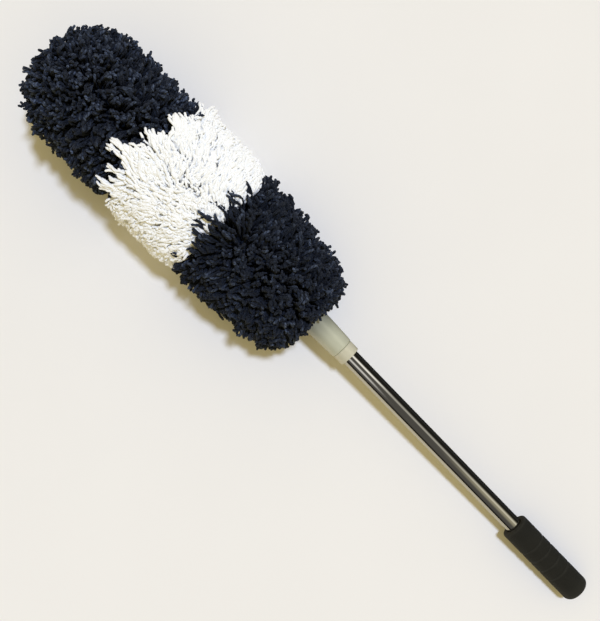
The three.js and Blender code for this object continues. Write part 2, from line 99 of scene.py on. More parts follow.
# The tool's own axes in the frame: along it to the head, across it, and up from it
AXIS = Vector(frame["joints"][0]["axis"]).normalized()
SIDE = Vector((0, 1, 0))
UP = AXIS.cross(SIDE)
TUBE_MIDDLE = sum(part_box("outer_tube"), Vector()) / 2
BUTT = TUBE_MIDDLE - AXIS * (TUBE_START + TUBE_END) / 2
TOOL = Matrix.Translation(BUTT) @ Matrix((AXIS, SIDE, UP)).transposed().to_4x4()
TILT = math.asin(AXIS.z)


# Properties

def property_maker(kind, **fixed):
    """Function that makes properties of one kind from a name, a description and a default"""
    def make(name, description, default):
        return kind(name=name, description=description, default=default, **fixed)
    return make


metres = property_maker(FloatProperty, unit="LENGTH")
radians = property_maker(FloatProperty, subtype="ANGLE")
rgb = property_maker(FloatVectorProperty, subtype="COLOR")
plain_number = property_maker(FloatProperty)
whole_number = property_maker(IntProperty)


class DUSTER_PG_sizes(bpy.types.PropertyGroup):
    """Sizes of the dressed pieces"""

    grip_radius: metres("Grip radius", "Outside of the foam grip", 0.01574)
    grip_length: metres("Grip length", "Foam from butt to mouth", 0.1055)
    grip_rounding: metres("Butt rounding", "Rounding of the closed butt", 0.007)
    groove_depth: metres("Groove depth", "Depth of the rings in the foam", 0.0007)
    tube_radius: metres("Tube radius", "Outside of the outer tube", 0.0095)
    inner_radius: metres("Inner tube radius", "Outside of the sliding tube", 0.008)
    tube_wall: metres("Tube wall", "Wall of both tubes", 0.0006)
    collar_radius: metres("Collar radius", "Outside of the guide collar", 0.0125)
    socket_mouth: metres("Socket mouth", "Radius of the socket at its mouth", 0.0132)
    socket_top: metres("Socket shoulder", "Radius of the socket at the head", 0.0154)
    pile_radius: metres("Pile radius", "Outside of the yarn pile", 0.0735)
    dark_thickness: metres("Dark strand", "Radius of a dark strand", 0.00138)
    white_thickness: metres("White strand", "Radius of a white strand", 0.0013)
    dark_spacing: metres("Dark spacing", "Distance between dark strands at their ends", 0.0044)
    white_spacing: metres("White spacing", "Distance between white strands at their ends", 0.0022)
    seed: whole_number("Seed", "Seed of the lie of the strands", 7)


class DUSTER_PG_colours(bpy.types.PropertyGroup):
    """Colours of the finishes"""

    dark_yarn: rgb("Dark yarn", "Blue-black yarn", (0.0097, 0.0126, 0.0190))
    white_yarn: rgb("White yarn", "Clean white yarn", (0.965, 0.962, 0.918))
    foam: rgb("Grip foam", "Black foam", (0.0123, 0.0119, 0.0094))
    steel: rgb("Steel", "Polished steel", (0.66, 0.655, 0.64))
    pale_plastic: rgb("Pale plastic", "Milky plastic of the socket", (0.52, 0.517, 0.37))
    collar_plastic: rgb("Collar plastic", "Paler moulding of the collar", (0.593, 0.554, 0.396))
    lock_plastic: rgb("Lock plastic", "Moulded lock pieces", (0.75, 0.74, 0.69))
    dark_plastic: rgb("Dark plastic", "Core tube and plugs", (0.033, 0.034, 0.042))
    padding: rgb("Padding", "Soft foam in the head", (0.69, 0.62, 0.42))
    floor: rgb("Floor", "Pale floor", (0.822, 0.796, 0.738))


class DUSTER_PG_stage(bpy.types.PropertyGroup):
    """Camera and light"""

    camera_height: metres("Camera height", "Height above the floor", 1.136)
    camera_x: metres("Camera along", "Place along the tool", 0.0245)
    camera_y: metres("Camera across", "Place across the tool", 0.004)
    camera_turn: radians("Camera turn", "Turn about the vertical", math.radians(-134.18))
    lens: plain_number("Lens", "Focal length in millimetres", 58.0)
    key_strength: plain_number("Key strength", "Strength of the key light", 2.75)
    key_zenith: radians("Key from overhead", "Angle of the key light from overhead", math.radians(16.5))


# Shaders

FINISHES = {}
# Where a mix node has its two colours and its blended colour
MIX_COLOURS = slice(6, 8)
MIX_RESULT = 2


def new_material(name):
    material = bpy.data.materials.new("finish_" + name)
    material.use_nodes = True
    FINISHES[name] = material
    tree = material.node_tree
    return tree, tree.nodes["Principled BSDF"]


def put(value, socket):
    """Links an output to a node's input, or sets the input to a value"""
    if isinstance(value, bpy.types.NodeSocket):
        socket.id_data.links.new(value, socket)
    else:
        socket.default_value = value


def configure(made, **values):
    """Sets a node's properties and inputs by name, with an underscore for each space"""
    for key, value in values.items():
        socket = made.inputs.get(key.replace("_", " "))
        if socket is None:
            setattr(made, key, value)
        else:
            put(value, socket)
    return made


def new_node(tree, kind, *in_order, **values):
    """New shader node; its first inputs can be given in their order, and the rest by name"""
    made = configure(tree.nodes.new("ShaderNode" + kind), **values)
    for value, socket in zip(in_order, made.inputs):
        put(value, socket)
    return made


def node(tree, kind, *in_order, **values):
    return new_node(tree, kind, *in_order, **values).outputs


def maths(tree, operation, *values):
    return node(tree, "Math", *values, operation=operation)[0]


def blend(tree, share, low, high, blend_type="MIX"):
    """Blended colour; the low and the high one are sockets or plain colours"""
    made = new_node(tree, "Mix", share, data_type="RGBA", blend_type=blend_type)
    for colour, socket in zip((low, high), made.inputs[MIX_COLOURS]):
        put(colour if isinstance(colour, bpy.types.NodeSocket) else (*colour, 1), socket)
    return made.outputs[MIX_RESULT]


def shade_of(colour, factor):
    """Colour times one factor, or times one for each channel"""
    return np.multiply(colour, factor)


def tool_coordinates(tree):
    """Object coordinates turned so that X runs along the tool and its axis is at Y and Z zero"""
    place = node(tree, "TexCoord")["Object"]
    centred = node(tree, "Mapping", place, Location=[-value for value in BUTT])[0]
    return node(tree, "Mapping", centred, Rotation=(0, TILT, 0))[0]


def new_group(name, inputs, outputs):
    """Group of shader nodes; an input without a value is a vector, and all the others are numbers"""
    group = bpy.data.node_groups.new(name, "ShaderNodeTree")
    for label, value in inputs.items():
        kind = "NodeSocketVector" if value is None else "NodeSocketFloat"
        socket = group.interface.new_socket(label, in_out="INPUT", socket_type=kind)
        if value is not None:
            socket.default_value = value
    for label in outputs:
        group.interface.new_socket(label, in_out="OUTPUT", socket_type="NodeSocketFloat")
    return group, group.nodes.new("NodeGroupInput").outputs, group.nodes.new("NodeGroupOutput")


def place_group(tree, group, vector, **values):
    return node(tree, "Group", node_tree=group, Vector=vector, **values)


def grain_group():
    """Fine pores and soft blotches, for foam, moulded plastic and steel"""
    group, given, out = new_group(
        "surface_grain", {"Vector": None, "Pore Scale": 900.0, "Blotch Scale": 40.0, "Pore Share": 0.5},
        ("Height", "Blotch"))
    place, fine, coarse = given["Vector"], given["Pore Scale"], given["Blotch Scale"]
    pores = node(group, "TexVoronoi", place, feature="SMOOTH_F1", Smoothness=0.35, Scale=fine)
    grit = node(group, "TexNoise", place, Scale=fine, Detail=3)
    blotch = node(group, "TexNoise", place, Scale=coarse, Detail=4)
    pore = maths(group, "MULTIPLY", pores["Distance"], given["Pore Share"])
    configure(out, Height=maths(group, "ADD", pore, grit["Fac"]), Blotch=blotch["Fac"])
    return group


def twist_group():
    """Plies twisted round a strand: the vector holds cosine and sine round it, and the length along it"""
    group, given, out = new_group(
        "yarn_twist", {"Vector": None, "Place": None, "Plies": 2.0, "Turns": 1200.0, "Fuzz Scale": 800.0},
        ("Height", "Groove", "Fuzz"))
    fuzz_relief = 0.8
    cosine, sine, length = node(group, "SeparateXYZ", given["Vector"])
    around = maths(group, "MULTIPLY", maths(group, "ARCTAN2", sine, cosine), given["Plies"])
    along = maths(group, "MULTIPLY", length, given["Turns"])
    wave = maths(group, "SINE", maths(group, "ADD", around, along))
    ridge = maths(group, "MULTIPLY", maths(group, "ADD", wave, 1.0), 0.5)
    fuzz = node(group, "TexNoise", given["Place"], Scale=given["Fuzz Scale"], Detail=3)["Fac"]
    patchy = node(group, "MapRange", fuzz, From_Min=0.35, From_Max=0.65)[0]
    height = maths(group, "ADD", ridge, maths(group, "MULTIPLY", fuzz, fuzz_relief))
    configure(out, Height=height, Groove=maths(group, "SUBTRACT", 1.0, ridge), Fuzz=patchy)
    return group


def weave_group():
    """Plain weave round the tool: over and under threads in the tool's own coordinates"""
    group, given, out = new_group(
        "cloth_weave", {"Vector": None, "Threads Round": 120.0, "Threads Along": 4500.0}, ("Height", "Gap"))
    station, across, up = node(group, "SeparateXYZ", given["Vector"])
    angle = maths(group, "ARCTAN2", across, up)
    warp = maths(group, "SINE", maths(group, "MULTIPLY", angle, given["Threads Round"]))
    weft = maths(group, "SINE", maths(group, "MULTIPLY", station, given["Threads Along"]))
    crossing = maths(group, "MULTIPLY", warp, weft)
    configure(out, Height=maths(group, "ADD", crossing, 1.0), Gap=maths(group, "ABSOLUTE", crossing))
    return group


def set_surface(tree, shader, colour, height, bump, mask, rough):
    """Colour, relief of a height by a bump's strength and distance, and roughness spread by a mask"""
    strength, distance = bump
    low, high = rough
    relief = node(tree, "Bump", Strength=strength, Distance=distance, Height=height)[0]
    spread = node(tree, "MapRange", mask, To_Min=low, To_Max=high)[0]
    configure(shader, Base_Color=colour, Normal=relief, Roughness=spread)


def yarn_material(name, colour, twist, shares, groove_shade_tint, turns, groove_shade, bump):
    """Soft yarn: its colour goes from the dark to the light share by tone, which holds painted shade at the
    roots and painted highlights at the ends, and shade is painted darker between the plies
    """
    fuzz_paler, rough = 0.2, (0.82, 0.98)
    tree, shader = new_material(name)
    lay = node(tree, "Attribute", attribute_name="strand_lay")["Vector"]
    tone = node(tree, "Attribute", attribute_name="strand_tone_and_painted_light")["Fac"]
    place = node(tree, "TexCoord")["Object"]
    ply = place_group(tree, twist, lay, Place=place, Turns=turns)
    darkest, palest = (shade_of(colour, share) for share in shares)
    spread = blend(tree, tone, darkest, palest)
    # Painted shade: the colour is darkened, and tinted, in the grooves between the plies
    painted_groove_shade = maths(tree, "MULTIPLY", ply["Groove"], groove_shade)
    groove_shaded = blend(tree, painted_groove_shade, spread, shade_of(darkest, groove_shade_tint))
    fuzzy = maths(tree, "MULTIPLY", ply["Fuzz"], fuzz_paler)
    base = blend(tree, fuzzy, groove_shaded, palest)
    set_surface(tree, shader, base, ply["Height"], bump, ply["Fuzz"], rough)
    return shader


def grained_material(name, colour, grain, pore_scale, bump, rough, contrast=0.25, pore_share=0.5, zones=()):
    """Moulded or foamed finish: blotchy colour, fine pores, uneven gloss, and zones of other colours"""
    tree, shader = new_material(name)
    along = tool_coordinates(tree)
    surface = place_group(tree, grain, along, Pore_Scale=pore_scale, Pore_Share=pore_share)
    low, high = shade_of(colour, 1 - contrast), shade_of(colour, 1 + contrast)
    base = blend(tree, surface["Blotch"], low, high)
    station = node(tree, "SeparateXYZ", along)[0]
    for mask, zone_colour in zones:
        base = blend(tree, mask(tree, station), base, zone_colour)
    set_surface(tree, shader, base, surface["Height"], bump, surface["Blotch"], rough)
    return shader


def between(start, end):
    """Mask that rises from nothing at one station to full at the other"""
    def mask(tree, station):
        return node(tree, "MapRange", station, interpolation_type="SMOOTHSTEP", From_Min=start,
                    From_Max=end)[0]
    return mask


def painted_ring_sheen(tree, station):
    """Mask of the rings pressed into the foam, along which a sheen is painted paler"""
    edge, floor, reach = 0.0017, 0.0004, 0.026
    middle = (RING_STATIONS[0] + RING_STATIONS[-1]) / 2
    from_first = maths(tree, "SUBTRACT", station, RING_STATIONS[0])
    ring = between(edge, floor)(tree, maths(tree, "PINGPONG", from_first, RING_PITCH / 2))
    from_middle = maths(tree, "ABSOLUTE", maths(tree, "SUBTRACT", station, middle))
    return maths(tree, "MULTIPLY", ring, maths(tree, "LESS_THAN", from_middle, reach))


def steel_material(name, colour, grain, bump, rough):
    """Steel with faint draw lines along the tool and soft smudges"""
    tree, shader = new_material(name)
    along = tool_coordinates(tree)
    stretched = node(tree, "Mapping", along, Scale=(0.012, 1, 1))[0]
    lines = node(tree, "TexNoise", stretched, Scale=1500, Detail=2)["Fac"]
    smudge = place_group(tree, grain, along, Blotch_Scale=55.0)["Blotch"]
    base = blend(tree, smudge, shade_of(colour, 0.93), colour)
    set_surface(tree, shader, base, lines, bump, smudge, rough)
    configure(shader, Metallic=1)


def cloth_material(name, colour, weave):
    """Woven cloth, with shade painted darker where the threads cross"""
    tree, shader = new_material(name)
    threads = place_group(tree, weave, tool_coordinates(tree))
    # Painted shade in the gaps of the weave
    base = blend(tree, threads["Gap"], shade_of(colour, 0.55), colour)
    relief = node(tree, "Bump", Strength=0.5, Distance=0.0003, Height=threads["Height"])[0]
    configure(shader, Base_Color=base, Normal=relief, Roughness=0.95)


def floor_material(name, colour):
    """Pale floor; in the polish it shows painted reflections: a dark card painted on its lit side, which
    gives the tubes a crisp edge, and a darker, warmer floor for the shadow elsewhere
    """
    card, card_edge = (0.02, 0.02, 0.018), (-0.010, -0.016)
    tree, shader = new_material(name)
    place = node(tree, "TexCoord")["Object"]
    cloud = node(tree, "TexNoise", place, Scale=5, Detail=3)["Fac"]
    pale = blend(tree, cloud, shade_of(colour, 0.98), shade_of(colour, 1.02))
    # Painted reflection: the floor seen in the polish is tinted darker and warmer for the shadow, and a dark
    # card is painted on its lit side
    reflected_shadow_tint = shade_of(colour, (0.78, 0.72, 0.56))
    mirrored = blend(tree, between(*card_edge)(tree, node(tree, "SeparateXYZ", place)[1]), reflected_shadow_tint, card)
    glossy = node(tree, "LightPath")["Is Glossy Ray"]
    configure(shader, Base_Color=blend(tree, glossy, pale, mirrored), Roughness=0.6,
              Specular_IOR_Level=0.1)


def finishes():
    """All the finishes, made once and kept by name"""
    if FINISHES:
        return FINISHES
    colours = bpy.context.scene.duster_colours
    grain, twist, weave = grain_group(), twist_group(), weave_group()

    dark = yarn_material(
        "dark_yarn", colours.dark_yarn, twist, shares=(0.12, 10.0), groove_shade_tint=(1, 1, 1), turns=1500.0,
        groove_shade=0.75, bump=(0.8, 0.0004))
    configure(dark, Sheen_Weight=0.06, Sheen_Roughness=0.5, Sheen_Tint=(0.75, 0.78, 0.9, 1),
              Specular_IOR_Level=0.25)
    white = yarn_material(
        "white_yarn", colours.white_yarn, twist, shares=(0.98, 1.01), groove_shade_tint=(0.99, 0.985, 0.97),
        turns=1300.0, groove_shade=0.15, bump=(0.12, 0.0004))
    configure(white, Sheen_Weight=0.9, Sheen_Roughness=0.6, Specular_IOR_Level=0.2)

    # Painted light: the rings are painted paler for their sheen
    paler_foam = shade_of(colours.foam, 1.7)
    # The mouth is painted paler, partly for its greyer cut foam and partly as painted light where it faces up
    # out of its shade; the foam is also paler towards the butt
    paler_mouth, paler_butt = between(0.1015, 0.1045), between(0.02, 0.0)
    foam = grained_material(
        "black_foam", colours.foam, grain, pore_scale=1500.0, bump=(0.7, 0.0004), rough=(0.7, 0.85),
        contrast=0.3, pore_share=1.4,
        zones=[(mask, paler_foam) for mask in (painted_ring_sheen, paler_mouth, paler_butt)])
    configure(foam, Sheen_Weight=0.03, Sheen_Roughness=0.4)
    grained_material(
        "dark_plastic", colours.dark_plastic, grain, pore_scale=1200.0, bump=(0.25, 0.0002),
        rough=(0.45, 0.6))
    grained_material(
        "lock_plastic", colours.lock_plastic, grain, pore_scale=1200.0, bump=(0.2, 0.0002), rough=(0.4, 0.55),
        contrast=0.06)
    grained_material(
        "padding", colours.padding, grain, pore_scale=700.0, bump=(0.9, 0.0008), rough=(0.9, 1.0),
        contrast=0.12, pore_share=1.6)
    collar = between(COLLAR_END, COLLAR_END - 0.001)
    # Painted shade: the socket is painted darker towards the head, where the pile shades it and the dark core
    # shows through
    shaded_near_head = between(SOCKET_MOUTH + 0.012, SOCKET_MOUTH + 0.045)
    plastic = grained_material(
        "pale_plastic", colours.pale_plastic, grain, pore_scale=500.0, bump=(0.12, 0.0002), rough=(0.3, 0.42),
        contrast=0.05,
        zones=[(collar, colours.collar_plastic), (shaded_near_head, shade_of(colours.pale_plastic, 0.5))])
    configure(plastic, Coat_Weight=1.0, Coat_IOR=2.0, Coat_Roughness=0.4)

    steel_material("polished_steel", colours.steel, grain, bump=(0.03, 0.0001), rough=(0.03, 0.06))
    steel_material("pin_steel", shade_of(colours.steel, 0.85), grain, bump=(0.25, 0.0001), rough=(0.28, 0.4))
    cloth_material("dark_cloth", shade_of(colours.dark_yarn, 2.0), weave)
    cloth_material("white_cloth", shade_of(colours.white_yarn, 0.85), weave)
    floor_material("pale_floor", colours.floor)
    return FINISHES


# Turned pieces

def add_object(name, data):
    made = bpy.data.objects.new(name, data)
    bpy.context.scene.collection.objects.link(made)
    return made


def evaluated_mesh(piece):
    bpy.context.view_layer.update()
    evaluated = piece.evaluated_get(bpy.context.evaluated_depsgraph_get())
    return bpy.data.meshes.new_from_object(evaluated)


def turned(name, profile, finish, rounded=(), sides=96, closed=True, rings=()):
    """Spins a profile of station and radius pairs about the tool's axis and rounds the named corners

    A rounded corner is its number in the profile, the width of its rounding and the segments of that.
    Rings are stations cut into the piece beside its rounded ends, so that the polish between them stays even.
    """
    builder = bmesh.new()
    corners = [builder.verts.new((station, 0, radius)) for station, radius in profile]
    edges = [builder.edges.new(pair) for pair in zip(corners, corners[1:])]
    if closed:
        edges.append(builder.edges.new((corners[-1], corners[0])))
    bmesh.ops.spin(builder, geom=corners + edges, cent=(0, 0, 0), axis=(1, 0, 0), angle=FULL_TURN,
                   steps=sides, use_merge=True)
    bmesh.ops.remove_doubles(builder, verts=builder.verts, dist=SAME_PLACE)
    bmesh.ops.recalc_face_normals(builder, faces=builder.faces)
    for corner, width, segments in rounded:
        station, radius = profile[corner]
        ring = [edge for edge in builder.edges if all(
            math.hypot(vert.co.x - station, vert.co.yz.length - radius) < SAME_PLACE for vert in edge.verts)]
        bmesh.ops.bevel(builder, geom=ring, offset=width, offset_type="OFFSET", segments=segments,
                        profile=0.5, affect="EDGES", material=-1, clamp_overlap=True)
    for station in rings:
        everything = builder.verts[:] + builder.edges[:] + builder.faces[:]
        bmesh.ops.bisect_plane(builder, geom=everything, plane_co=(station, 0, 0), plane_no=(1, 0, 0))
    return finished(name, builder, finish)


def finished(name, builder, finish):
    """Puts a bmesh built in the tool's own axes into the frame, as a smooth piece with its finish"""
    builder.transform(TOOL)
    mesh = bpy.data.meshes.new(name)
    builder.to_mesh(mesh)
    builder.free()
    mesh.shade_smooth()
    mesh.set_sharp_from_angle(angle=SHARP_ANGLE)
    mesh.materials.append(finishes()[finish])
    return add_object(name, mesh)


def drilled(piece, station):
    """Cuts a round cross hole for a pin, and applies it to the mesh"""
    cutter_builder = bmesh.new()
    across = Matrix.Translation((station, 0, 0)) @ Matrix.Rotation(QUARTER, 4, "X")
    bmesh.ops.create_cone(cutter_builder, cap_ends=True, segments=32, radius1=PIN_HOLE, radius2=PIN_HOLE,
                          depth=0.06, matrix=across)
    cutter = finished("cutter", cutter_builder, "pin_steel")
    cut = piece.modifiers.new("hole", "BOOLEAN")
    cut.object = cutter
    cut.solver = "EXACT"
    mesh = evaluated_mesh(piece)
    piece.modifiers.clear()
    piece.data = mesh
    bpy.data.objects.remove(cutter)


def settle(piece, body, slot, *nodes):
    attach(piece, body)
    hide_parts(*nodes)


# Yarn

def bell(value, width):
    return np.exp(-(value / width) ** 2)


def ramp(station, start, length):
    """Share that rises from 0 at a station to 1 a length ahead of it"""
    return np.clip((station - start) / length, 0, 1)


def half_turns(angle):
    """The same angles, between half a turn back and half a turn on"""
    return np.mod(angle + math.pi, FULL_TURN) - math.pi


class Pile:
    """Places on the head: where a strand is rooted and where its end lies, from the neck to the tip"""

    NECK_ROOT = 0.0182
    NECK_END = 0.0215
    ROOT = 0.0272
    ROOT_REACH = 0.0150
    REAR_REACH = 0.0315
    REAR_SQUARENESS = 0.65
    TIP_EXTRA = -0.0080
    TIP_SQUARENESS = 0.74
    STEPS = 400
    TAPER_START = 0.528
    TAPER = 0.09
    TAPER_POWER = 1.5
    BEND_START = 0.618
    BEND = 0.002
    # Uneven places: station, angle from the top, share of the length, and width along and around
    LUMPS = (
        (0.798, -1.5, -0.09, 0.022, 0.7),
        (0.778, 1.5, 0.03, 0.030, 0.8),
        (0.468, -1.5, -0.09, 0.030, 0.9),
        (0.443, 1.4, -0.05, 0.020, 0.9),
    )
    # Full jitter of a scatter, in places along and in radians around
    JITTER_ALONG = 9
    JITTER_AROUND = 0.06
    SLOPE_STEP = 1e-3
    LEAST_SLOPE = 1e-9

    def __init__(self, radius):
        lean = np.linspace(QUARTER, 0, self.STEPS)
        out, back = np.cos(lean), np.sin(lean)
        inward, ahead = out[::-1], back[::-1]
        barrel = np.linspace(BARREL_START, BARREL_END, self.STEPS)
        taper = (1 - ramp(barrel, BARREL_START, self.TAPER_START - BARREL_START)) ** self.TAPER_POWER
        rear_radius = radius * (1 - self.TAPER)
        # Station and radius of the roots, then of the ends, over the rear, the barrel and the tip
        rear = (BARREL_START - self.ROOT_REACH * back, self.NECK_ROOT + (self.ROOT - self.NECK_ROOT) * out,
                BARREL_START - self.REAR_REACH * back,
                self.NECK_END + (rear_radius - self.NECK_END) * out ** self.REAR_SQUARENESS)
        straight = (barrel, np.full(self.STEPS, self.ROOT), barrel, radius * (1 - self.TAPER * taper))
        tip = (BARREL_END + self.ROOT * ahead, self.ROOT * inward,
               BARREL_END + (radius + self.TIP_EXTRA) * ahead, radius * inward ** self.TIP_SQUARENESS)
        self.rows = np.hstack((rear, straight, tip))
        end_x, end_r = self.rows[2:]
        steps = np.hypot(np.diff(end_x), np.diff(end_r))
        middle = (end_r[1:] + end_r[:-1]) / 2
        self.area = np.concatenate([[0], np.cumsum(FULL_TURN * middle * steps)])

    def scatter(self, start, end, spacing, dice, jitter=1.0):
        """Even scatter of places between two root stations: angles from the top, then what places gives"""
        low, high = np.interp((start, end), self.rows[0], self.area)
        count = int((high - low) / spacing ** 2)
        index = np.arange(count)
        reach = self.JITTER_ALONG
        area = low + (high - low) * (index + 0.5 + jitter * dice.uniform(-reach, reach, count)) / count
        angle = half_turns(index * GOLDEN_ANGLE + jitter * dice.uniform(-1, 1, count) * self.JITTER_AROUND)
        return angle, *self.places(np.clip(area, low, high), angle)

    def places(self, area, angle):
        """Root, end, and the directions along and around the pile, by area from the neck and angle"""
        root_x, root_r, end_x, end_r = (np.interp(area, self.area, row) for row in self.rows)
        step = self.area[-1] * self.SLOPE_STEP
        slope_x, slope_r = (np.interp(area + step, self.area, row) - np.interp(area - step, self.area, row)
                            for row in self.rows[2:])
        sine, cosine = np.sin(angle), np.cos(angle)
        root = np.stack([root_x, root_r * sine, root_r * cosine], 1)
        end = np.stack([end_x, end_r * sine, end_r * cosine], 1)
        length = np.ones_like(end_x)
        for station, turn, share, wide, round_it in self.LUMPS:
            length += share * bell(end_x - station, wide) * bell(half_turns(angle - turn), round_it)
        end = root + (end - root) * length[:, None]
        end[:, 1] += self.BEND * ramp(end_x, self.BEND_START, BARREL_END - self.BEND_START) ** 2
        slope = np.maximum(np.hypot(slope_x, slope_r), self.LEAST_SLOPE)
        along = np.stack([slope_x / slope, slope_r / slope * sine, slope_r / slope * cosine], 1)
        around = np.stack([np.zeros_like(sine), cosine, -sine], 1)
        return root, end, along, around


# A strand's points as shares of its length, and its thickness at each
STRAND_STATIONS = np.array([0.0, 0.28, 0.48, 0.62, 0.73, 0.82, 0.905, 0.974, 1.0])
STRAND_SWELL = np.array([0.0, 0.8, 0.84, 0.9, 0.95, 1.02, 1.18, 1.0, 0.0])
STRAND_SIDES = 6
STRAND_MERGE = 1e-7
STRAND_JITTER = 0.6
# Painted light: a strand's tone is painted darker towards its root for shade and paler towards its end for a
# highlight, from this share on
STRAND_PAINTED_LIGHT = 2.2
PAINTED_LIGHT_FROM = 0.8
FLOOR_SOFTNESS = 0.005
FLOOR_REST = 1.2
FLOOR_SPREAD = 0.3


def nearest(points, centres):
    gaps = ((points[:, None, :] - centres[None, :, :]) ** 2).sum(2)
    return gaps.argmin(1)


def drifts(points, amount, dice):
    """Slow drift of the lie over the head, along and around"""
    count, length = 6, 0.016
    waves = dice.normal(0, 1, (2, count, 3)) / length
    phases = dice.uniform(0, FULL_TURN, (2, count))
    turns = np.einsum("pk,awk->paw", points, waves) + phases
    return amount * np.sin(turns).sum(2) / math.sqrt(count / 2)


def drawn_paths(root, end, sway, hook, dice, rise_power, sway_power, wave):
    """Strands as rows of points: up from the root, bending over into their sway, and a little wavy"""
    waves, wave_turns, hook_drop, hook_power = 2, (1.5, 3.2), 0.8, 5
    share = STRAND_STATIONS[None, :, None]
    up = 1 - (1 - share) ** rise_power
    paths = root[:, None, :] + (end - root)[:, None, :] * up + sway[:, None, :] * share ** sway_power
    count = len(root)
    for _ in range(waves):
        direction = dice.normal(size=(count, 1, 3))
        direction /= np.linalg.norm(direction, axis=2, keepdims=True)
        phase = dice.uniform(0, FULL_TURN, (count, 1, 1))
        turns = dice.uniform(*wave_turns, (count, 1, 1)) * FULL_TURN
        paths = paths + direction * wave * share * np.sin(share * turns + phase)
    outward = (end - root) / np.linalg.norm(end - root, axis=1, keepdims=True)
    rise = (hook * outward).sum(1, keepdims=True)
    dropped = hook - outward * (rise + hook_drop * np.abs(rise))
    return paths + dropped[:, None, :] * share ** hook_power


def laid_on_floor(paths, thickness):
    """Strands in the frame; the low ones are pressed on the floor and spread to the sides"""
    matrix = np.array(TOOL)
    placed = paths @ matrix[:3, :3].T + matrix[:3, 3]
    height = placed[..., 2] - thickness * FLOOR_REST
    pressed = FLOOR_SOFTNESS * np.logaddexp(0, height / FLOOR_SOFTNESS)
    placed[..., 1] += np.sign(placed[..., 1]) * (pressed - height) * FLOOR_SPREAD
    placed[..., 2] = pressed + thickness * FLOOR_REST
    return placed


def strand_piece(name, paths, thickness, tones, finish):
    """Tubes along the paths, made one mesh, with the lay of each strand and its tone, painted darker at the
    root for shade and paler at the end for a highlight
    """
    count, points = paths.shape[:2]
    curve = bpy.data.curves.new(name, "CURVE")
    curve.dimensions = "3D"
    curve.bevel_depth = thickness
    curve.bevel_resolution = 1
    flat = np.concatenate([paths, np.ones((count, points, 1))], 2)
    for row in flat:
        spline = curve.splines.new("POLY")
        spline.points.add(points - 1)
        spline.points.foreach_set("co", row.ravel())
        spline.points.foreach_set("radius", STRAND_SWELL)
        spline.use_smooth = True
    holder = add_object(name + "_paths", curve)
    mesh = evaluated_mesh(holder)
    bpy.data.objects.remove(holder)
    bpy.data.curves.remove(curve)
    if len(mesh.vertices) != count * points * STRAND_SIDES:
        raise RuntimeError(f"{name}: {len(mesh.vertices)} vertices for {count} strands")
    steps = np.linalg.norm(np.diff(paths, axis=1), axis=2)
    length = np.concatenate([np.zeros((count, 1)), np.cumsum(steps, 1)], 1)
    angle = np.arange(STRAND_SIDES) * FULL_TURN / STRAND_SIDES
    lay = np.stack(np.broadcast_arrays(np.cos(angle), np.sin(angle), length[..., None]), -1)
    # Painted shade at the root and painted highlight at the end, on top of each strand's own tone
    paler = tones[:, None] + STRAND_PAINTED_LIGHT * (STRAND_STATIONS - PAINTED_LIGHT_FROM)
    tone = np.repeat(np.clip(paler, 0, 1).ravel(), STRAND_SIDES)
    mesh.attributes.new("strand_lay", "FLOAT_VECTOR", "POINT").data.foreach_set("vector", lay.ravel())
    mesh.attributes.new("strand_tone_and_painted_light", "FLOAT", "POINT").data.foreach_set("value", tone)
    closed = bmesh.new()
    closed.from_mesh(mesh)
    bmesh.ops.remove_doubles(closed, verts=closed.verts, dist=STRAND_MERGE)
    bmesh.ops.recalc_face_normals(closed, faces=closed.faces)
    closed.to_mesh(mesh)
    closed.free()
    mesh.name = name
    mesh.materials.clear()
    mesh.materials.append(finishes()[finish])
    return add_object(name, mesh)


